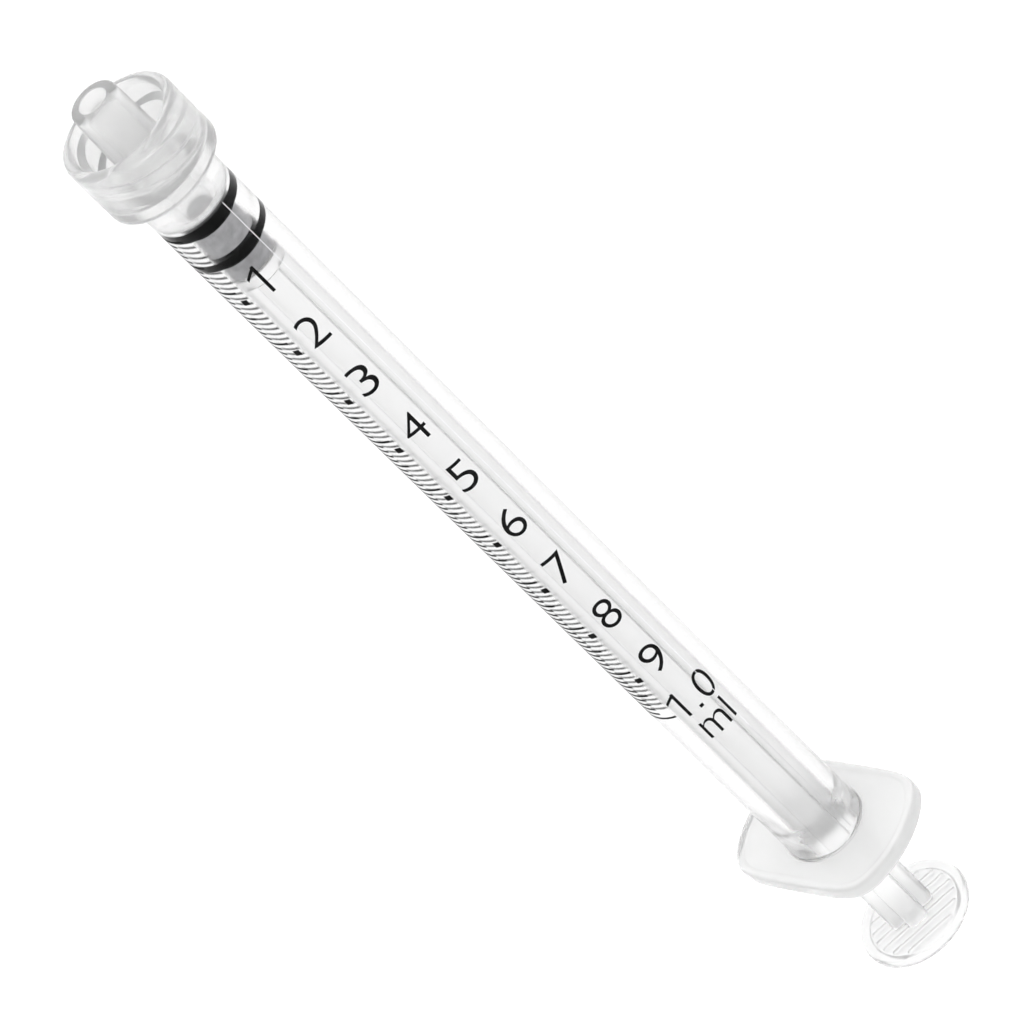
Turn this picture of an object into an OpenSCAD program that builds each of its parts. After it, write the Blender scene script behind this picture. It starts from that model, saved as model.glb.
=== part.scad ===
// One-millilitre luer-lock oral syringe, lying on the flat side of its finger flange.
// +X runs towards the luer tip, +Z is up, and the origin is below the middle of the length.
// Stations are distances along the axis from the zero line of the scale, positive towards the thumb.

/* [Barrel] */
// Outside diameter of the barrel tube
barrel_d = 6.9; // [6.6:0.1:7.4]
// Diameter of the bore
bore_d = 4.5; // [4.3:0.1:4.8]
// Station of the front face of the finger flange
flange_station = 83.8; // [80:0.1:88]
// Height of the small ring inside the bore that keeps the seal from being pulled out
bead_h = 0.09; // [0.05:0.01:0.11]

/* [Finger flange] */
// Length of the finger flange across its round ends
flange_l = 16.8; // [14:0.1:18]
// Width of the finger flange across its flat sides
flange_w = 11.6; // [10.6:0.1:12]
// Thickness of the finger flange
flange_t = 1.35; // [1.2:0.05:2]

/* [Luer lock] */
// Diameter of the luer cone at its tip
luer_tip_d = 3.98; // [3.93:0.01:3.99]
// Diameter of the hole through the luer cone
luer_hole_d = 2.3; // [2:0.1:2.6]
// Length of the luer cone from the floor of the collar
luer_l = 7.65; // [7.5:0.05:8.2]
// Outside diameter of the locking collar
collar_d = 9.8; // [9.4:0.1:10.2]
// Distance the cone stands out of the collar
luer_proud = 2.75; // [2.1:0.05:3]
// Lead of the double-start thread inside the collar
thread_lead = 5; // [4.8:0.1:5.2]

/* [Plunger] */
// Width across the ribs of the rod
rod_d = 4.24; // [4:0.02:4.28]
// Thickness of each rib
rib_t = 1.9; // [1.2:0.1:2]
// Diameter of the thumb disc
thumb_d = 10.1; // [9:0.1:10.8]
// Station of the thumb side of the disc
thumb_station = 97.95; // [95:0.05:101]
// Number of grip ridges on the thumb disc
ridge_count = 7; // [5:2:9]
// Angle that the ribs are turned about the axis
rod_roll = 30; // [0:1:90]
// Diameter of the seal body between its two lips
seal_d = 4.06; // [3.9:0.02:4.1]

/* [Scale] */
// Length of the scale from 0 to 1.0 ml
scale_l = 62.9; // [57:0.1:66]
// Number of divisions
divisions = 100; // [50:50:100]
// Width of a printed line
line_w = 0.18; // [0.12:0.01:0.25]

/* [Hidden] */
$fn = 96;

barrel_r = barrel_d / 2;
bore_r = bore_d / 2;
axis_z = flange_w / 2;

// Stations of the front end
floor_t = 0.8;
shoulder_station = -3.95;
collar_floor_station = shoulder_station - floor_t;
tip_station = collar_floor_station - luer_l;
collar_rim_station = tip_station + luer_proud;
bore_end_station = -0.45;
channel_station = -0.53;
neck_r = barrel_r + 0.12;
neck_station = -1.2;
tip_chamfer = 0.3;
collar_chamfer = 0.4;
collar_mouth_l = 0.5;
collar_mouth_w = 0.25;
edge = 0.2;

// Stations of the open end, where the tube is a little wider
open_end_r = barrel_r + 0.06;
taper_station = scale_l + 1.5;
back_station = flange_station + flange_t;
bead_station = 81;
bead_w = 0.8;
bead_ramp = 0.3;
bore_mouth = 0.15;
fillet = 0.35;

// Outline of the finger flange
flange_end_r = 9.3;
flange_corner_r = 2.6;
flange_corner_y = flange_l / 2 - flange_corner_r - 0.75;

// The object's middle lies at x = 0
zero_x = (tip_station + thumb_station) / 2;

// Luer cone: 6 % taper on the diameter
luer_hole_r = luer_hole_d / 2;
luer_tip_r = luer_tip_d / 2;
luer_slope = 0.03;
luer_root_r = luer_tip_r + luer_slope * luer_l;
collar_r = collar_d / 2;
thread_major_r = 4.0;
thread_minor_r = 3.5;
thread_root_w = 1.5;
thread_crest_w = 0.7;
thread_root_r = thread_major_r + 0.2;
thread_starts = 2;
thread_from = collar_rim_station + 0.9;
thread_to = collar_floor_station - 0.6;
thread_step = 15;

// Seal: two lips that run in the bore, a blunt nose and a socket for the rod's head
seal_r = seal_d / 2;
lip_r = bore_r - 0.015;
nose_r = 0.9;
nose_front = -0.42;
nose_back = -0.3;
front_lip = [-0.05, 0.8];
rear_lip = [3.6, 4.25];
front_lip_ramp = 0.3;
lip_ramp = 0.35;
seal_back = 6.15;
seal_edge = 0.1;
head_r = 1.2;
head_tip_r = 0.45;
stem_r = 0.75;
head_front = 2.7;
head_cone = 3.6;
head_back = 4.6;
stem_front = head_back + 0.3;
play = 0.05;

// Rod
rod_r = rod_d / 2;
disc_front = seal_back + 0.1;
disc_back = 7.3;
disc_edge = 0.1;
thumb_r = thumb_d / 2;
thumb_t = 1;
thumb_chamfer = 0.4;
grip_h = 0.3;
overlap = 0.1;
thumb_face_station = thumb_station - grip_h;
thumb_front_station = thumb_station - thumb_t;
rim_w = 0.8;
rim_slope = 0.1;
ridge_w = 0.45;
ridge_pitch = 1.08;
ridge_field_r = thumb_r - rim_w - 0.25;

// Scale: where each kind of line starts, in degrees up from the horizontal on the -Y side.
// The print runs slightly askew, by print_skew degrees from one end of the scale to the other.
ink_t = 0.02;
line_end = 135;
minor_start = 88;
mid_start = 78;
major_start = 69;
print_skew = -12;

// Puts a child drawn round +Z onto the syringe's axis, with its +Z towards the tip
module on_axis() {
    translate([0, 0, axis_z]) rotate([0, 90, 0]) children();
}

// A point of a revolved outline: radius and station
function rs(r, station) = [r, zero_x - station];

// Revolves an outline of [radius, station] points round the axis
module turned(points) {
    on_axis() rotate_extrude() polygon([for (p = points) rs(p[0], p[1])]);
}

// The ridge of one thread start, as a swept four-sided section
function thread_section(angle, station) = [
    for (c = [[thread_root_r, -thread_root_w / 2], [thread_root_r, thread_root_w / 2],
              [thread_minor_r, thread_crest_w / 2], [thread_minor_r, -thread_crest_w / 2]])
        [c[0] * cos(angle), c[0] * sin(angle), zero_x - station + c[1]]
];

module thread_ridge(phase) {
    turns = (thread_to - thread_from) / thread_lead;
    rings = floor(turns * 360 / thread_step);
    points = [
        for (i = [0:rings])
            each thread_section(phase + i * thread_step, thread_from + i * thread_step * thread_lead / 360)
    ];
    sides = [
        for (i = [0:rings - 1], j = [0:3])
            [4 * i + j, 4 * i + (j + 1) % 4, 4 * i + 4 + (j + 1) % 4, 4 * i + 4 + j]
    ];
    first = [3, 2, 1, 0];
    last = [4 * rings, 4 * rings + 1, 4 * rings + 2, 4 * rings + 3];
    on_axis() polyhedron(points, concat(sides, [first, last]));
}

// Flange plate: flat sides, arched ends and rounded corners
module flange_outline() {
    intersection() {
        translate([0, flange_l / 2 - flange_end_r]) circle(r = flange_end_r);
        translate([0, flange_end_r - flange_l / 2]) circle(r = flange_end_r);
        union() {
            square([flange_w, 2 * flange_corner_y], center = true);
            square([flange_w - 2 * flange_corner_r, flange_l], center = true);
            for (x = [-1, 1], y = [-1, 1])
                translate([x * (flange_w / 2 - flange_corner_r), y * flange_corner_y])
                    circle(r = flange_corner_r);
        }
    }
}

module barrel() {
    color([0.93, 0.95, 0.96, 0.5]) {
        difference() {
            union() {
                // Tube with the closed front end, the floor of the collar and the luer cone
                turned([
                    [0, tip_station], [luer_tip_r - tip_chamfer, tip_station],
                    [luer_tip_r, tip_station + tip_chamfer],
                    [luer_root_r, collar_floor_station], [thread_major_r, collar_floor_station],
                    [thread_major_r, collar_rim_station + collar_mouth_l],
                    [thread_major_r + collar_mouth_w, collar_rim_station],
                    [collar_r - collar_chamfer, collar_rim_station],
                    [collar_r, collar_rim_station + collar_chamfer],
                    [collar_r, shoulder_station - edge], [collar_r - edge, shoulder_station],
                    [neck_r + edge, shoulder_station], [neck_r, shoulder_station + edge],
                    [barrel_r, neck_station], [barrel_r, taper_station],
                    [open_end_r, flange_station - fillet], [open_end_r + fillet, flange_station],
                    [open_end_r + fillet, back_station],
                    [0, back_station]
                ]);
                on_axis() translate([0, 0, zero_x - back_station])
                    linear_extrude(flange_t) flange_outline();
                for (k = [0:thread_starts - 1]) thread_ridge(k * 360 / thread_starts);
            }
            // Bore, its almost flat front end, the channel, and the small ring that holds the seal in
            turned([
                [0, tip_station - 1], [luer_hole_r, tip_station - 1], [luer_hole_r, channel_station],
                [bore_r, bore_end_station], [bore_r, bead_station - bead_ramp],
                [bore_r - bead_h, bead_station], [bore_r - bead_h, bead_station + bead_w],
                [bore_r, bead_station + bead_w + bead_ramp], [bore_r, back_station - bore_mouth],
                [bore_r + bore_mouth, back_station], [bore_r + bore_mouth, back_station + 1],
                [0, back_station + 1]
            ]);
        }
    }
}

// One printed line: part of a thin ring round the tube
module scale_line(sweep) {
    rotate_extrude(angle = sweep) translate([barrel_r, 0]) square([ink_t, line_w]);
}

module scale_marks() {
    color([0.08, 0.08, 0.09]) {
        for (i = [0:divisions]) {
            start = i % 10 == 0 ? major_start : (i % 5 == 0 ? mid_start : minor_start);
            skew = print_skew * (i / divisions - 0.5);
            on_axis() translate([0, 0, zero_x - i * scale_l / divisions - line_w / 2])
                rotate([0, 0, -90 - line_end - skew]) scale_line(line_end - start);
        }
    }
}

module plunger_seal() {
    color([0.22, 0.22, 0.23]) {
        difference() {
            turned([
                [0, nose_front], [nose_r, nose_front], [seal_r, nose_back],
                [lip_r, front_lip[0]], [lip_r, front_lip[1]], [seal_r, front_lip[1] + lip_ramp],
                [seal_r, rear_lip[0] - front_lip_ramp], [lip_r, rear_lip[0]],
                [lip_r, rear_lip[1]], [seal_r, rear_lip[1] + lip_ramp],
                [seal_r, seal_back - seal_edge], [seal_r - seal_edge, seal_back], [0, seal_back]
            ]);
            turned([
                [0, head_front - play], [head_tip_r + play, head_front - play],
                [head_r + play, head_cone - play], [head_r + play, head_back + play],
                [stem_r + play, stem_front + play], [stem_r + play, seal_back + 1],
                [0, seal_back + 1]
            ]);
        }
    }
}

module plunger_rod() {
    color([0.90, 0.93, 0.95, 0.6]) {
        // Head and stem that snap into the seal, and the disc that pushes it
        turned([
            [0, head_front], [head_tip_r, head_front], [head_r, head_cone], [head_r, head_back],
            [stem_r, stem_front], [stem_r, disc_front], [rod_r - disc_edge, disc_front],
            [rod_r, disc_front + disc_edge], [rod_r, disc_back], [0, disc_back]
        ]);
        // Four ribs, trimmed to a circle
        on_axis() translate([0, 0, zero_x - thumb_face_station])
            linear_extrude(thumb_face_station - disc_back + overlap) intersection() {
                circle(r = rod_r);
                rotate(-rod_roll) union() {
                    square([2 * rod_r, rib_t], center = true);
                    square([rib_t, 2 * rod_r], center = true);
                }
            }
        // Thumb disc with a raised rim and straight grip ridges
        turned([
            [0, thumb_front_station], [thumb_r - thumb_chamfer, thumb_front_station],
            [thumb_r, thumb_front_station + thumb_chamfer], [thumb_r, thumb_station - edge],
            [thumb_r - edge, thumb_station], [thumb_r - rim_w, thumb_station],
            [thumb_r - rim_w - rim_slope, thumb_face_station], [0, thumb_face_station]
        ]);
        on_axis() translate([0, 0, zero_x - thumb_station])
            linear_extrude(grip_h + overlap) intersection() {
                circle(r = ridge_field_r);
                rotate(-rod_roll) for (i = [0:ridge_count - 1])
                    translate([0, (i - (ridge_count - 1) / 2) * ridge_pitch])
                        square([thumb_d, ridge_w], center = true);
            }
    }
}

barrel();
scale_marks();
plunger_seal();
plunger_rod();
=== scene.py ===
"""One-millilitre luer-lock oral syringe, lying on the flat side of its flange.

Lengths are in millimetres until they go into a mesh. A station is a distance along the axis from
the zero line of the scale, positive towards the thumb. An angle is in degrees round the axis, up
from the horizontal on the -Y side.
"""

import math

import bmesh
import bpy
from mathutils import Matrix, Vector


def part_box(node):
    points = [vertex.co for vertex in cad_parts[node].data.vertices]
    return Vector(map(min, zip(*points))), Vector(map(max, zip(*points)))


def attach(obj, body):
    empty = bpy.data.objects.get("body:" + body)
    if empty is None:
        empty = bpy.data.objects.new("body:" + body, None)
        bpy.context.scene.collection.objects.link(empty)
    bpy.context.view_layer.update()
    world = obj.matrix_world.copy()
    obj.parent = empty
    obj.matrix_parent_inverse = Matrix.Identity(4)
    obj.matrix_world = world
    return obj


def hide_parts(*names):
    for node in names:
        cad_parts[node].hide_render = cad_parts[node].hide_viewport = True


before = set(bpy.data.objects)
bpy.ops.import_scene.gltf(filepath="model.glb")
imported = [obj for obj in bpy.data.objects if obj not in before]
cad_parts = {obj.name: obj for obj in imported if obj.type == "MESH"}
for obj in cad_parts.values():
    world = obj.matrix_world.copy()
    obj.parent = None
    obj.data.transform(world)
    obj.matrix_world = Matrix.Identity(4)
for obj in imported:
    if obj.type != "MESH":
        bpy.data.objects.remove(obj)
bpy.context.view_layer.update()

MM = 0.001
FINE = 192

# ---------------------------------------------------------------- sizes taken from the frame

barrel_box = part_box("barrel")
rod_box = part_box("plunger_rod")
scale_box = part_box("scale_marks")

LINE_W = 0.18
ZERO_X = scale_box[1][0] / MM - LINE_W / 2
AXIS_Z = (barrel_box[0][2] + barrel_box[1][2]) / 2 / MM
FLANGE_W = (barrel_box[1][2] - barrel_box[0][2]) / MM
FLANGE_L = (barrel_box[1][1] - barrel_box[0][1]) / MM
TIP = ZERO_X - barrel_box[1][0] / MM
BACK = ZERO_X - barrel_box[0][0] / MM
THUMB = ZERO_X - rod_box[0][0] / MM
THUMB_R = (rod_box[1][1] - rod_box[0][1]) / 2 / MM
SCALE_L = (scale_box[1][0] - scale_box[0][0]) / MM - LINE_W

# ---------------------------------------------------------------- turning outlines into meshes


def axis_point(radius, angle, station):
    """The place of a point of the syringe, in metres."""
    a = math.radians(angle)
    y = -radius * math.cos(a)
    z = AXIS_Z + radius * math.sin(a)
    return Vector(((ZERO_X - station) * MM, y * MM, z * MM))


def mesh_object(name, verts, faces, sharp=None):
    mesh = bpy.data.meshes.new(name)
    mesh.from_pydata(verts, [], faces)
    mesh.validate()
    obj = bpy.data.objects.new(name, mesh)
    bpy.context.scene.collection.objects.link(obj)
    outward(obj)
    for poly in mesh.polygons:
        poly.use_smooth = True
    if sharp:
        mesh.set_sharp_from_angle(angle=math.radians(sharp))
    return obj


def outward(obj):
    """Turns every face of a closed mesh outwards."""
    bm = bmesh.new()
    bm.from_mesh(obj.data)
    bmesh.ops.recalc_face_normals(bm, faces=bm.faces)
    bm.to_mesh(obj.data)
    bm.free()


def rounded(corners, steps=4):
    """Rounds the corners of an outline. Each corner is (station, radius, rounding)."""
    out = []
    n = len(corners)
    for i, (x, y, r) in enumerate(corners):
        here = Vector((x, y))
        if r <= 0:
            out.append((x, y))
            continue
        back = Vector(corners[i - 1][:2]) - here
        on = Vector(corners[(i + 1) % n][:2]) - here
        half = back.angle(on) / 2
        reach = r / math.tan(half)
        centre = here + (back.normalized() + on.normalized()).normalized() * (r / math.sin(half))
        start = here + back.normalized() * reach
        end = here + on.normalized() * reach
        support = 0.15 * r
        out.append(tuple(start + back.normalized() * support))
        turn = (start - centre).angle_signed(end - centre)
        for k in range(steps + 1):
            arm = start - centre
            arm.rotate(Matrix.Rotation(-turn * k / steps, 2))
            out.append(tuple(centre + arm))
        out.append(tuple(end + on.normalized() * support))
    return out


def turned(name, outline, segments=FINE, closed=True, radius_at=None):
    """Sweeps an outline of (station, radius) round the axis.

    radius_at(station, radius, angle) gives the radius where the shape isn't round.
    """
    angles = [360 * k / segments for k in range(segments)]
    verts = []
    rings = []
    for station, radius in outline:
        if radius < 1e-6 and radius_at is None:
            rings.append([len(verts)])
            verts.append(axis_point(0, 0, station))
            continue
        ring = []
        for a in angles:
            r = radius_at(station, radius, a) if radius_at else radius
            ring.append(len(verts))
            verts.append(axis_point(r, a, station))
        rings.append(ring)
    faces = []
    pairs = list(zip(rings, rings[1:]))
    if closed:
        pairs.append((rings[-1], rings[0]))
    for low, high in pairs:
        if len(low) == 1 and len(high) == 1:
            continue
        for k in range(segments):
            j = (k + 1) % segments
            if len(low) == 1:
                faces.append((low[0], high[k], high[j]))
            elif len(high) == 1:
                faces.append((low[k], low[j], high[0]))
            else:
                faces.append((low[k], low[j], high[j], high[k]))
    return mesh_object(name, verts, faces)


# ---------------------------------------------------------------- barrel

BARREL_R = 3.45
BORE_R = 2.25
SHOULDER = -3.95
BORE_END = -0.45
CHANNEL = -0.53
COLLAR_FLOOR = SHOULDER - 0.8
COLLAR_RIM = TIP + 2.75
COLLAR_R = 4.9
LUER_TIP_R = 1.99
LUER_ROOT_R = LUER_TIP_R + 0.03 * (COLLAR_FLOOR - TIP)
HOLE_R = 1.15
THREAD_R = 4.0
THREAD_H = 0.5
THREAD_LEAD = 5.0
THREAD_PHASE = 20
FLANGE_T = 1.35
FLANGE = BACK - FLANGE_T
BEAD = 81.0


def flange_radius(angle):
    """Edge of the finger flange: flat sides, arched ends and rounded corners."""
    a = math.radians(angle)
    c, s = abs(math.cos(a)), abs(math.sin(a))
    half_l, half_w = FLANGE_L / 2, FLANGE_W / 2
    flat = half_w / max(s, 1e-6)
    arch_r = 9.3
    arch_c = arch_r - half_l
    arch = -arch_c * c + math.sqrt(max(arch_r ** 2 - (arch_c * s) ** 2, 0))
    power = 9.0
    return (flat ** -power + arch ** -power) ** (-1 / power)


def thread_profile(station, angle):
    """Height of the collar's double-start thread at a place on its wall."""
    turn = (station - COLLAR_RIM) / THREAD_LEAD + (angle + THREAD_PHASE) / 360
    across = abs((turn * 2) % 1 - 0.5) * THREAD_LEAD / 2
    ridge = min(1, max(0, (0.75 - across) / 0.38))
    ridge = ridge * ridge * (3 - 2 * ridge)
    lead_in = min(1, max(0, (station - COLLAR_RIM - 0.55) / 0.5))
    run_out = min(1, max(0, (COLLAR_FLOOR - 0.25 - station) / 0.5))
    return THREAD_H * ridge * lead_in * run_out


def barrel_radius(station, radius, angle):
    """Radii of 100 and more stand for the flange.

    They are 100 + the share of the way out to its edge, or 200 less the inset from its edge.
    """
    if radius >= 150:
        return flange_radius(angle) - (200 - radius)
    if radius >= 100:
        share = radius - 100
        return BARREL_R * (1 - share) + flange_radius(angle) * share
    if abs(radius - THREAD_R) < 1e-6 and COLLAR_RIM < station < COLLAR_FLOOR:
        return radius - thread_profile(station, angle)
    return radius


def barrel_outline():
    """Closed outline of the wall: outside from tip to flange, then back through the bore."""
    collar_wall = [
        (COLLAR_FLOOR - 0.12 + (COLLAR_RIM + 0.5 - COLLAR_FLOOR + 0.12) * k / 56, THREAD_R)
        for k in range(57)
    ]
    front = rounded([
        (TIP, HOLE_R, 0.12), (TIP, LUER_TIP_R, 0.38), (COLLAR_FLOOR, LUER_ROOT_R, 0.12),
        (COLLAR_FLOOR, THREAD_R, 0)])[:-1]
    rim = rounded([
        (COLLAR_RIM + 0.5, THREAD_R, 0), (COLLAR_RIM, THREAD_R + 0.25, 0.1),
        (COLLAR_RIM, COLLAR_R, 0.45), (SHOULDER, COLLAR_R, 0.35), (SHOULDER, BARREL_R + 0.12, 0.2),
        (-1.2, BARREL_R, 0.6), (SCALE_L + 1.5, BARREL_R, 2), (FLANGE, BARREL_R + 0.06, 0.3),
        (FLANGE, BARREL_R + 2, 0)])[1:-1]
    flange = [
        (FLANGE, 100.25), (FLANGE, 100.5), (FLANGE, 199.1), (FLANGE - 0.02, 199.2),
        (FLANGE - 0.06, 199.3), (FLANGE - 0.08, 199.42), (FLANGE - 0.08, 199.6),
        (FLANGE - 0.04, 199.75), (FLANGE + 0.05, 199.9), (FLANGE + 0.2, 199.98),
        (FLANGE + 0.35, 200), (BACK - 0.35, 200), (BACK - 0.2, 199.98), (BACK - 0.08, 199.91),
        (BACK - 0.02, 199.82), (BACK, 199.7), (BACK, 199.55), (BACK, 100.5)]
    bore = rounded([
        (BACK, BARREL_R, 0), (BACK, BORE_R + 0.15, 0.05), (BACK - 0.15, BORE_R, 0.05),
        (BEAD + 1.3, BORE_R, 0.4), (BEAD + 0.7, BORE_R - 0.05, 0.4),
        (BEAD + 0.1, BORE_R - 0.05, 0.4), (BEAD - 0.5, BORE_R, 0.4),
        (BORE_END, BORE_R, 0.12), (CHANNEL, HOLE_R, 0.08), (TIP, HOLE_R, 0)])[:-1]
    return front + collar_wall + rim + flange + bore


def make_barrel():
    return turned("barrel_shell", barrel_outline(), radius_at=barrel_radius)


# ---------------------------------------------------------------- printed scale

INK_IN = BARREL_R - 0.006
INK_OUT = BARREL_R + 0.012
SPREAD = 0.02
LINE_END = 135
STARTS = {"tenth": 69, "half": 78, "small": 88}
PRINT_SKEW = -12
DIGIT_H = 2.95
DIGIT_W = 1.73
DIGIT_ANGLE = 32
POINT_ANGLE = 68.7
POINT_SIZE = 0.56
GLYPH_OFFSET = -0.01
FLAG_TURN = 15
FLAG_DROP = 0.75
UNIT_DROP = 3.15
# Place, width and length of the painted highlight line along the tube.
HIGHLIGHT_ANGLE = 1
HIGHLIGHT_HALF = 0.45
HIGHLIGHT_STEPS = 40
HIGHLIGHT_FROM = -0.6
HIGHLIGHT_TO = FLANGE - 0.6


def skew(station):
    """How far the print has drifted round the tube at a station, in degrees."""
    return PRINT_SKEW * (station / SCALE_L - 0.5)


def strip_faces(steps):
    """Faces of a closed strip made of steps + 1 rings of four corners."""
    faces = [(3, 2, 1, 0), tuple(4 * steps + j for j in range(4))]
    for k in range(steps):
        for j in range(4):
            on = (j + 1) % 4
            faces.append((4 * k + j, 4 * k + on, 4 * k + 4 + on, 4 * k + 4 + j))
    return faces


def ink_patch(corners, steps=24):
    """A thin solid of ink. corners = (first angle, last angle, first station, last station)."""
    a0, a1, s0, s1 = corners
    verts = []
    for k in range(steps + 1):
        a = a0 + (a1 - a0) * k / steps
        for r, s in ((INK_IN, s0), (INK_IN, s1), (INK_OUT, s1), (INK_OUT, s0)):
            verts.append(axis_point(r, a, s))
    return verts, strip_faces(steps)


def joined(name, parts):
    verts, faces = [], []
    for v, f in parts:
        base = len(verts)
        verts += v
        faces += [tuple(base + i for i in face) for face in f]
    return mesh_object(name, verts, faces, sharp=30)


def make_scale_lines():
    parts = []
    for i in range(101):
        kind = "tenth" if i % 10 == 0 else ("half" if i % 5 == 0 else "small")
        station = SCALE_L * i / 100
        turn = skew(station)
        ends = (STARTS[kind] + turn, LINE_END + turn)
        half = LINE_W / 2 + SPREAD
        parts.append(ink_patch((*ends, station - half, station + half)))
    return joined("scale_lines", parts)


def point(angle, station, size):
    """A square decimal point whose foot is at a station."""
    half = math.degrees(size / 2 / BARREL_R)
    return ink_patch((angle - half, angle + half, station - size, station), steps=6)


def glyph(text, angle, foot, height, width):
    """Prints a character of the plain built-in font round the tube: its top points to the tip."""
    curve = bpy.data.curves.new("glyph", "FONT")
    curve.body = text
    curve.offset = GLYPH_OFFSET
    curve.resolution_u = 6
    obj = bpy.data.objects.new("glyph", curve)
    bpy.context.scene.collection.objects.link(obj)
    flat = bpy.data.meshes.new_from_object(obj.evaluated_get(bpy.context.evaluated_depsgraph_get()))
    bpy.data.objects.remove(obj)
    bm = bmesh.new()
    bm.from_mesh(flat)
    bpy.data.meshes.remove(flat)
    bmesh.ops.remove_doubles(bm, verts=bm.verts, dist=1e-5)
    xs = [v.co.x for v in bm.verts]
    ys = [v.co.y for v in bm.verts]
    left, low = min(xs), min(ys)
    sx = width / (max(xs) - left)
    sy = height / (max(ys) - low)
    for v in bm.verts:
        v.co = ((v.co.x - left) * sx - width / 2, (v.co.y - low) * sy, 0)
    cuts = int(width / 0.12)
    for k in range(1, cuts):
        geom = bm.verts[:] + bm.edges[:] + bm.faces[:]
        place = (-width / 2 + width * k / cuts, 0, 0)
        bmesh.ops.bisect_plane(bm, geom=geom, plane_co=place, plane_no=(1, 0, 0), dist=1e-6)
    made = bmesh.ops.extrude_face_region(bm, geom=bm.faces[:])
    top = set(v for v in made["geom"] if isinstance(v, bmesh.types.BMVert))
    bm.verts.ensure_lookup_table()
    verts = []
    for v in bm.verts:
        r = INK_OUT if v in top else INK_IN
        verts.append(axis_point(r, angle - math.degrees(v.co.x / BARREL_R), foot - v.co.y))
    faces = [tuple(v.index for v in f.verts) for f in bm.faces]
    bm.free()
    return verts, faces


def figure_one(angle, foot, stroke=0.27):
    """A figure 1 with a straight flag at its top, drawn as a stem and a slanted stroke."""
    half = math.degrees(stroke / 2 / BARREL_R)
    stem = ink_patch((angle - half, angle + half, foot - DIGIT_H, foot), steps=4)
    verts = []
    steps = 8
    for k in range(steps + 1):
        out = k / steps
        a = angle - half + (FLAG_TURN + half) * out
        top = foot - DIGIT_H + FLAG_DROP * out ** 1.3
        for r, s in ((INK_IN, top), (INK_IN, top + stroke * 1.15), (INK_OUT, top + stroke * 1.15),
                     (INK_OUT, top)):
            verts.append(axis_point(r, a, s))
    return [stem, (verts, strip_faces(steps))]


def make_numbers():
    parts = []
    for i in range(1, 10):
        station = SCALE_L * i / 10
        turn = skew(station)
        foot = station + DIGIT_H / 2
        if i == 1:
            parts += figure_one(DIGIT_ANGLE - 4 + turn, foot)
        else:
            parts.append(glyph(str(i), DIGIT_ANGLE + turn, foot, DIGIT_H, DIGIT_W))
        parts.append(point(POINT_ANGLE + turn, foot, POINT_SIZE))
    foot = SCALE_L + 0.6
    parts += figure_one(46, foot)
    parts.append(point(26.6, foot, 0.34))
    parts.append(glyph("0", 4, foot, DIGIT_H, 1.51))
    parts.append(glyph("m", 30, foot + UNIT_DROP, 2.0, 2.22))
    parts.append(glyph("l", 3, foot + UNIT_DROP, 2.6, 0.28))
    return joined("scale_numbers", parts)


def make_mould_line():
    """A thin near-white strip along the tube: a painted highlight, the bright line that light draws
    along the barrel.
    """
    length = HIGHLIGHT_TO - HIGHLIGHT_FROM
    stations = [HIGHLIGHT_FROM + length * k / HIGHLIGHT_STEPS for k in range(HIGHLIGHT_STEPS + 1)]
    sides = (HIGHLIGHT_ANGLE - HIGHLIGHT_HALF, HIGHLIGHT_ANGLE + HIGHLIGHT_HALF)
    parts = []
    for low, high in zip(stations, stations[1:]):
        parts.append(ink_patch((*sides, low, high), steps=2))
    return joined("painted_highlight_line", parts)


# ---------------------------------------------------------------- rubber seal


SEAL_R = 2.03
LIP_R = BORE_R + 0.012
LIP_FROM_R = 2.15


def make_seal():
    lip, body = LIP_R, SEAL_R
    outline = rounded([
        (-0.42, 0, 0), (-0.42, 0.9, 0.1), (-0.3, body, 0.1), (-0.07, lip, 0.06),
        (0.82, lip, 0.06), (1.15, body, 0.1), (3.3, body, 0.1),
        (3.57, lip, 0.06), (4.28, lip, 0.06), (4.6, body, 0.1), (6.15, body, 0.08),
        (6.15, 0.8, 0.05), (4.95, 0.8, 0.05), (4.65, 1.25, 0.05), (3.55, 1.25, 0.05),
        (2.65, 0.5, 0.05), (2.65, 0, 0)])
    return turned("seal_rubber", outline, closed=False)


# ---------------------------------------------------------------- plunger rod

ROD_R = 2.12
RIB_T = 1.9
ROD_ROLL = 30
DISC_FRONT = 6.25
DISC_BACK = 7.3
GRIP_H = 0.3
THUMB_FRONT = THUMB - 1.0
THUMB_FACE = THUMB - GRIP_H
RIM_W = 0.8
RIDGE_COUNT = 7
RIDGE_W = 0.45
RIDGE_PITCH = 1.08
RIDGE_FIELD_R = THUMB_R - RIM_W - 0.25


def cross_radius(angle):
    """Edge of the cruciform section, measured from the middle of the nearest rib."""
    a = abs((angle - ROD_ROLL + 45) % 90 - 45)
    rib = ROD_R
    side = RIB_T / 2 / max(math.sin(math.radians(a)), 1e-6)
    power = 14.0
    return (rib ** -power + side ** -power) ** (-1 / power)


def rod_radius(station, radius, angle):
    """Radii of 100 and more blend from the cross section out to a radius: 100 + that radius."""
    if radius >= 100:
        edge = cross_radius(angle)
        return edge if radius < 100.001 else max(edge + 0.001, radius - 100)
    return radius


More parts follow.
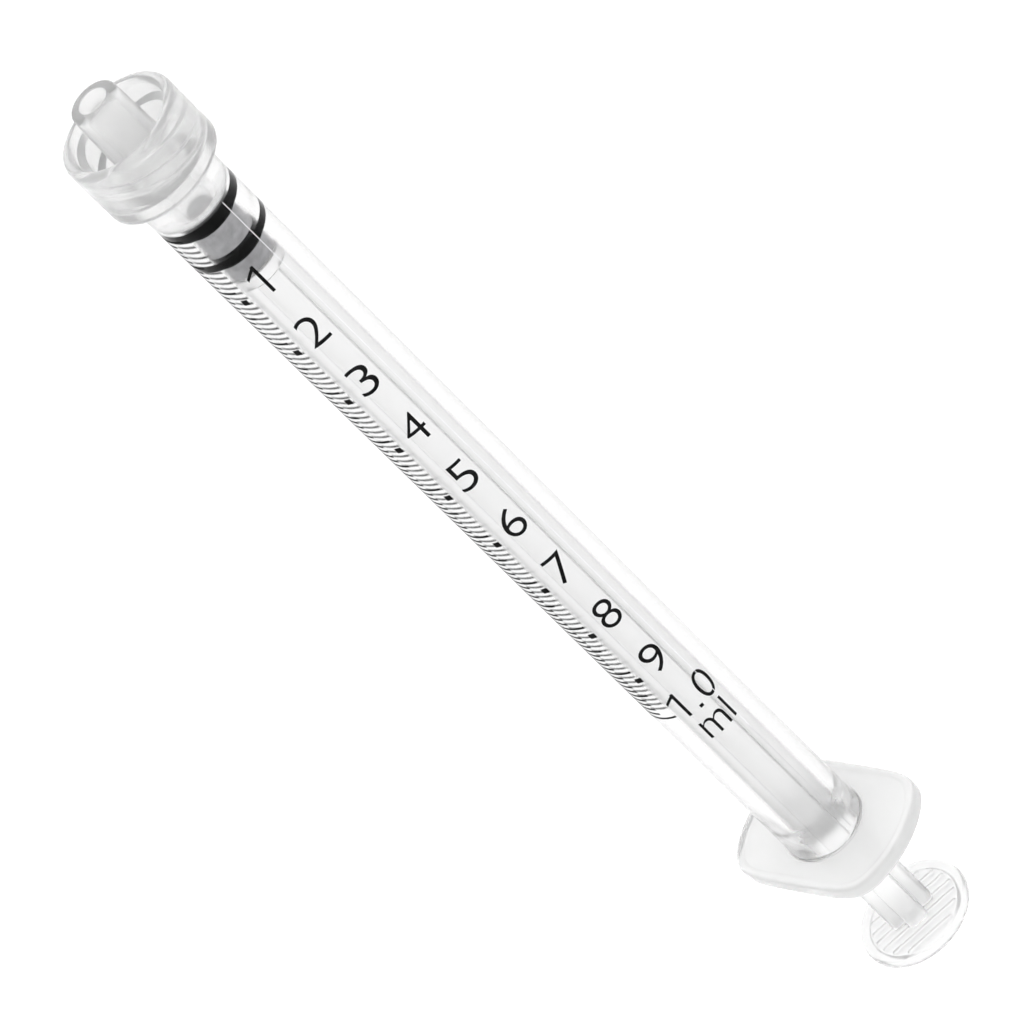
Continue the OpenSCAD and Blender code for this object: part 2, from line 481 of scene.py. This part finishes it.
def rod_outline():
    front = rounded([
        (2.7, 0.0001, 0), (2.7, 0.45, 0.05), (3.6, 1.2, 0.08), (4.6, 1.2, 0.08), (4.9, 0.75, 0.05),
        (DISC_FRONT, 0.75, 0.05), (DISC_FRONT, ROD_R, 0.1), (DISC_BACK, ROD_R, 0.1),
        (DISC_BACK, ROD_R - 0.4, 0)])[:-1]
    ribs = [(DISC_BACK + 0.005, 100), (DISC_BACK + 0.05, 100), (THUMB_FRONT - 0.3, 100),
            (THUMB_FRONT - 0.02, 100), (THUMB_FRONT, 100)]
    disc = rounded([
        (THUMB_FRONT, 2.2, 0), (THUMB_FRONT, THUMB_R, 0.5), (THUMB, THUMB_R, 0.3),
        (THUMB, THUMB_R - RIM_W, 0.12), (THUMB_FACE, THUMB_R - RIM_W - 0.1, 0.1),
        (THUMB_FACE, 0.0001, 0)])
    return front + ribs + disc


def grip_ridge(offset, length):
    """A straight bar with rounded edges on the thumb side of the disc."""
    bm = bmesh.new()
    bmesh.ops.create_cube(bm, size=1)
    size = Vector((2 * GRIP_H + 0.2, length, RIDGE_W)) * MM
    bmesh.ops.scale(bm, vec=size, verts=bm.verts)
    bmesh.ops.bevel(bm, geom=bm.edges, offset=0.16 * MM, segments=4, affect="EDGES", profile=0.5)
    turn = Matrix.Rotation(math.radians(90 - ROD_ROLL), 3, "X")
    bmesh.ops.rotate(bm, matrix=turn, verts=bm.verts)
    middle = Vector((ZERO_X - THUMB + GRIP_H + 0.1, 0, AXIS_Z)) * MM
    bmesh.ops.translate(bm, vec=middle + turn @ Vector((0, 0, offset * MM)), verts=bm.verts)
    mesh = bpy.data.meshes.new("ridge")
    bm.to_mesh(mesh)
    bm.free()
    ridge = bpy.data.objects.new("ridge", mesh)
    bpy.context.scene.collection.objects.link(ridge)
    return ridge


def united(obj, tools):
    """Adds solids to a mesh as one skin and deletes the solids."""
    for tool in tools:
        mod = obj.modifiers.new("add", "BOOLEAN")
        mod.operation = "UNION"
        mod.solver = "EXACT"
        mod.object = tool
    graph = bpy.context.evaluated_depsgraph_get()
    mesh = bpy.data.meshes.new_from_object(obj.evaluated_get(graph))
    obj.modifiers.clear()
    obj.data = mesh
    for tool in tools:
        bpy.data.objects.remove(tool)
    for poly in mesh.polygons:
        poly.use_smooth = True
    mesh.set_sharp_from_angle(angle=math.radians(40))


def make_rod():
    rod = turned("rod_moulding", rod_outline(), closed=False, radius_at=rod_radius, segments=288)
    ridges = []
    for i in range(RIDGE_COUNT):
        offset = (i - (RIDGE_COUNT - 1) / 2) * RIDGE_PITCH
        ridges.append(grip_ridge(offset, 2 * math.sqrt(RIDGE_FIELD_R ** 2 - offset ** 2)))
    united(rod, ridges)
    return rod


# ---------------------------------------------------------------- materials


def material(name, **values):
    m = bpy.data.materials.new(name)
    m.use_nodes = True
    shader = m.node_tree.nodes["Principled BSDF"]
    for key, value in values.items():
        shader.inputs[key.replace("_", " ")].default_value = value
    return m, shader


GLEAM = 0.12
CORE_EDGE = 0.7


def set_inputs(node, values):
    for key, value in values.items():
        node.inputs[key].default_value = value


def combined(tree, operation, first, second):
    """Output of a math node that takes two outputs."""
    node = tree.nodes.new("ShaderNodeMath")
    node.operation = operation
    tree.links.new(first, node.inputs[0])
    tree.links.new(second, node.inputs[1])
    return node.outputs["Value"]


def moulded_plastic(name, zones, absorption, clear_r=0):
    """Polypropylene that is clear in thin walls and milky in thick ones, with faint flow streaks.

    zones = (station, brightness, roughness, transmission, core) in order along the axis. Where core
    is 1, whatever lies within clear_r of the axis is clear.
    absorption is the density of the volume: light falls to 1/e over 1 / absorption metres.
    """
    m, shader = material(name, IOR=1.49, Specular_Tint=(GLEAM, GLEAM, GLEAM, 1))
    nodes, links = m.node_tree.nodes, m.node_tree.links
    coords = nodes.new("ShaderNodeTexCoord")
    axes = nodes.new("ShaderNodeSeparateXYZ")
    links.new(coords.outputs["Object"], axes.inputs["Vector"])
    first, last = zones[0][0], zones[-1][0]
    along = nodes.new("ShaderNodeMapRange")
    along.inputs["From Min"].default_value = (ZERO_X - first) * MM
    along.inputs["From Max"].default_value = (ZERO_X - last) * MM
    links.new(axes.outputs["X"], along.inputs["Value"])
    ramp = nodes.new("ShaderNodeValToRGB")
    links.new(along.outputs["Result"], ramp.inputs["Fac"])
    elements = ramp.color_ramp.elements
    elements[0].color = zones[0][1:]
    elements[1].color = zones[-1][1:]
    for station, *look in zones[1:-1]:
        elements.new((station - first) / (last - first)).color = look
    parts = nodes.new("ShaderNodeSeparateColor")
    links.new(ramp.outputs["Color"], parts.inputs["Color"])
    stretch = nodes.new("ShaderNodeMapping")
    stretch.inputs["Scale"].default_value = (40, 900, 900)
    links.new(coords.outputs["Object"], stretch.inputs["Vector"])
    noise = nodes.new("ShaderNodeTexNoise")
    noise.inputs["Scale"].default_value = 1.0
    noise.inputs["Detail"].default_value = 3
    links.new(stretch.outputs["Vector"], noise.inputs["Vector"])
    streaks = nodes.new("ShaderNodeMapRange")
    set_inputs(streaks, {"From Min": 0.35, "From Max": 0.65, "To Min": 0.99, "To Max": 1.0})
    links.new(noise.outputs["Fac"], streaks.inputs["Value"])
    tint = combined(m.node_tree, "MULTIPLY", parts.outputs["Red"], streaks.outputs["Result"])
    links.new(tint, shader.inputs["Base Color"])
    links.new(parts.outputs["Green"], shader.inputs["Roughness"])
    place = nodes.new("ShaderNodeCombineXYZ")
    links.new(axes.outputs["Y"], place.inputs["Y"])
    links.new(axes.outputs["Z"], place.inputs["Z"])
    from_axis = nodes.new("ShaderNodeVectorMath")
    from_axis.operation = "DISTANCE"
    from_axis.inputs[1].default_value = (0, 0, AXIS_Z * MM)
    links.new(place.outputs["Vector"], from_axis.inputs[0])
    inside = nodes.new("ShaderNodeMapRange")
    inside.interpolation_type = "SMOOTHSTEP"
    edge = (clear_r * MM, (clear_r + CORE_EDGE) * MM)
    set_inputs(inside, {"From Min": edge[0], "From Max": edge[1], "To Min": 1, "To Max": 0})
    links.new(from_axis.outputs["Value"], inside.inputs["Value"])
    core = combined(m.node_tree, "MULTIPLY", inside.outputs["Result"], ramp.outputs["Alpha"])
    clear = combined(m.node_tree, "MAXIMUM", parts.outputs["Blue"], core)
    links.new(clear, shader.inputs["Transmission Weight"])
    volume = nodes.new("ShaderNodeVolumeAbsorption")
    volume.inputs["Color"].default_value = (0, 0, 0, 1)
    volume.inputs["Density"].default_value = absorption
    links.new(volume.outputs["Volume"], nodes["Material Output"].inputs["Volume"])
    return m


def speckled(name, dark, light, roughness, scale):
    """A matte material whose colour wanders between two greys, with a fine bump."""
    m, shader = material(name, Roughness=roughness)
    nodes, links = m.node_tree.nodes, m.node_tree.links
    noise = nodes.new("ShaderNodeTexNoise")
    noise.inputs["Scale"].default_value = scale
    noise.inputs["Detail"].default_value = 4
    ramp = nodes.new("ShaderNodeValToRGB")
    ramp.color_ramp.elements[0].position = 0.35
    ramp.color_ramp.elements[0].color = (dark, dark, dark * 1.03, 1)
    ramp.color_ramp.elements[1].position = 0.65
    ramp.color_ramp.elements[1].color = (light, light, light * 1.03, 1)
    bump = nodes.new("ShaderNodeBump")
    bump.inputs["Strength"].default_value = 0.15
    bump.inputs["Distance"].default_value = 0.00003
    coords = nodes.new("ShaderNodeTexCoord")
    links.new(coords.outputs["Object"], noise.inputs["Vector"])
    links.new(noise.outputs["Fac"], ramp.inputs["Fac"])
    links.new(ramp.outputs["Color"], shader.inputs["Base Color"])
    links.new(noise.outputs["Fac"], bump.inputs["Height"])
    links.new(bump.outputs["Normal"], shader.inputs["Normal"])
    return m, shader


def radius_of(centre):
    """Distance from the axis of a place given in metres."""
    return math.hypot(centre.y / MM, centre.z / MM - AXIS_Z)


def dress(obj, mat):
    obj.data.materials.clear()
    obj.data.materials.append(mat)


# ---------------------------------------------------------------- put it together

barrel = make_barrel()
dress(barrel, moulded_plastic("clear_barrel", [
    (TIP, 1.0, 0.22, 0.8, 0), (-0.9, 1.0, 0.22, 0.8, 0), (-0.6, 1.0, 0.13, 1.0, 1),
    (BEAD + 0.6, 1.0, 0.13, 1.0, 1), (FLANGE - 0.3, 1.0, 0.18, 0.6, 1),
    (BACK - 0.3, 1.0, 0.18, 0.6, 1), (BACK - 0.05, 1.0, 0.18, 0.5, 0),
    (BACK, 1.0, 0.18, 0.5, 0)], 17, BARREL_R + 0.05))
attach(barrel, "barrel")
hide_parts("barrel")

lines = make_scale_lines()
ink_mat, ink_shader = speckled("scale_ink", 0.002, 0.012, 0.6, 2600)
ink_shader.inputs["Specular IOR Level"].default_value = 0.05
dress(lines, ink_mat)
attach(lines, "barrel")
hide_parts("scale_marks")

numbers = make_numbers()
dress(numbers, ink_mat)
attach(numbers, "barrel")

# A near-white strip along the tube: a painted highlight.
painted_highlight_line = make_mould_line()
dress(painted_highlight_line, speckled("painted_highlight_line", 0.85, 0.97, 0.5, 900)[0])
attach(painted_highlight_line, "barrel")

seal = make_seal()
# The seal is one dark rubber. Its body is painted pale grey: a painted sheen that stands for the
# light it catches through the barrel.
dress(seal, speckled("seal_rubber", 0.38, 0.52, 0.4, 1500)[0])
# The lips, pressed on the bore, keep the rubber's near-black, and their reflection is switched off.
pressed_lips, pressed_lips_shader = speckled("seal_lips", 0.003, 0.006, 0.3, 1500)
pressed_lips_shader.inputs["Specular IOR Level"].default_value = 0.0
seal.data.materials.append(pressed_lips)
for poly in seal.data.polygons:
    if radius_of(poly.center) > LIP_FROM_R:
        poly.material_index = 1
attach(seal, "seal")
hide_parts("plunger_seal")

rod = make_rod()
dress(rod, moulded_plastic("clear_rod", [
    (2.7, 1.0, 0.38, 1.0, 0), (THUMB_FRONT - 0.4, 1.0, 0.38, 0.97, 0),
    (THUMB_FRONT - 0.02, 0.985, 0.15, 0.72, 0), (THUMB, 0.985, 0.15, 0.72, 0)], 3))
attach(rod, "rod")
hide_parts("plunger_rod")

# ---------------------------------------------------------------- floor, light and camera

SKY = 1.15
DIM_SIDE = 1.0
SOFT_BOX = 0.1
FLOOR_HALF = 3.0
FLOOR_GLOW = 1.08
LENS = 218.3238
AXIS_TILT = 37.0
PRINT_TURN = 24.55
CAMERA_ROLL = -0.339
AIM_STATION = 1.15
AIM_ALONG = -30.74
AIM_ACROSS = 0.185
DISTANCE = 446.93


def make_floor():
    size = FLOOR_HALF
    verts = [(-size, -size, 0), (size, -size, 0), (size, size, 0), (-size, size, 0)]
    mesh = bpy.data.meshes.new("floor")
    mesh.from_pydata(verts, [], [(0, 1, 2, 3)])
    floor = bpy.data.objects.new("floor", mesh)
    bpy.context.scene.collection.objects.link(floor)
    m, shader = material("light_table", Base_Color=(0.05, 0.05, 0.05, 1), Roughness=0.9)
    shader.inputs["Specular IOR Level"].default_value = 0.0
    shader.inputs["Emission Color"].default_value = (1, 1, 1, 1)
    shader.inputs["Emission Strength"].default_value = FLOOR_GLOW
    mesh.materials.append(m)


def make_camera():
    """Camera whose tilt, roll, distance and lens were fitted to the lines of the scale."""
    tilt = math.radians(AXIS_TILT)
    facing = math.radians(PRINT_TURN)
    toward_thumb = Vector((-1, 0, 0))
    toward_camera = Vector((0, -math.cos(facing), math.sin(facing)))
    along = math.cos(tilt) * toward_thumb + math.sin(tilt) * toward_camera
    forward = math.sin(tilt) * toward_thumb - math.cos(tilt) * toward_camera
    across = toward_thumb.cross(toward_camera)
    start = axis_point(0, 0, AIM_STATION)
    place = start - (AIM_ALONG * along + AIM_ACROSS * across + DISTANCE * forward) * MM
    fine = math.radians(CAMERA_ROLL)
    u = math.cos(fine) * along - math.sin(fine) * across
    v = math.sin(fine) * along + math.cos(fine) * across
    right = (u - v) / math.sqrt(2)
    down = (u + v) / math.sqrt(2)
    data = bpy.data.cameras.new("camera")
    data.sensor_width = 36
    data.lens = LENS
    data.clip_start = 0.01
    data.clip_end = 20
    cam = bpy.data.objects.new("camera", data)
    bpy.context.scene.collection.objects.link(cam)
    turn = Matrix((right, -down, -forward)).transposed().to_4x4()
    cam.matrix_world = Matrix.Translation(place) @ turn
    bpy.context.scene.camera = cam


def make_world():
    """A studio: even white, a dim side to the left of the camera, a soft box above on its right."""
    world = bpy.data.worlds.new("studio")
    bpy.context.scene.world = world
    world.use_nodes = True
    nodes, links = world.node_tree.nodes, world.node_tree.links
    nodes["Background"].inputs["Color"].default_value = (1, 1, 1, 1)
    coords = nodes.new("ShaderNodeTexCoord")

    def lobe(toward, edge, core, at_edge, at_core):
        dot = nodes.new("ShaderNodeVectorMath")
        dot.operation = "DOT_PRODUCT"
        dot.inputs[1].default_value = Vector(toward).normalized()
        level = nodes.new("ShaderNodeMapRange")
        level.interpolation_type = "SMOOTHSTEP"
        set_inputs(level, {
            "From Min": edge, "From Max": core, "To Min": at_edge, "To Max": at_core})
        links.new(coords.outputs["Generated"], dot.inputs[0])
        links.new(dot.outputs["Value"], level.inputs["Value"])
        return level.outputs["Result"]

    dim = lobe((-0.6, -0.65, 0.47), 0.55, 0.88, SKY, DIM_SIDE)
    soft_box = lobe((0.5, -0.6, 0.62), 0.6, 0.9, 0, SOFT_BOX)
    total = combined(world.node_tree, "ADD", dim, soft_box)
    links.new(total, nodes["Background"].inputs["Strength"])


make_floor()
make_camera()
make_world()
scene = bpy.context.scene
scene.view_settings.view_transform = "Standard"
scene.cycles.max_bounces = 40
scene.cycles.transmission_bounces = 32
scene.cycles.glossy_bounces = 32
scene.cycles.diffuse_bounces = 16
scene.cycles.caustics_refractive = True
scene.cycles.caustics_reflective = True
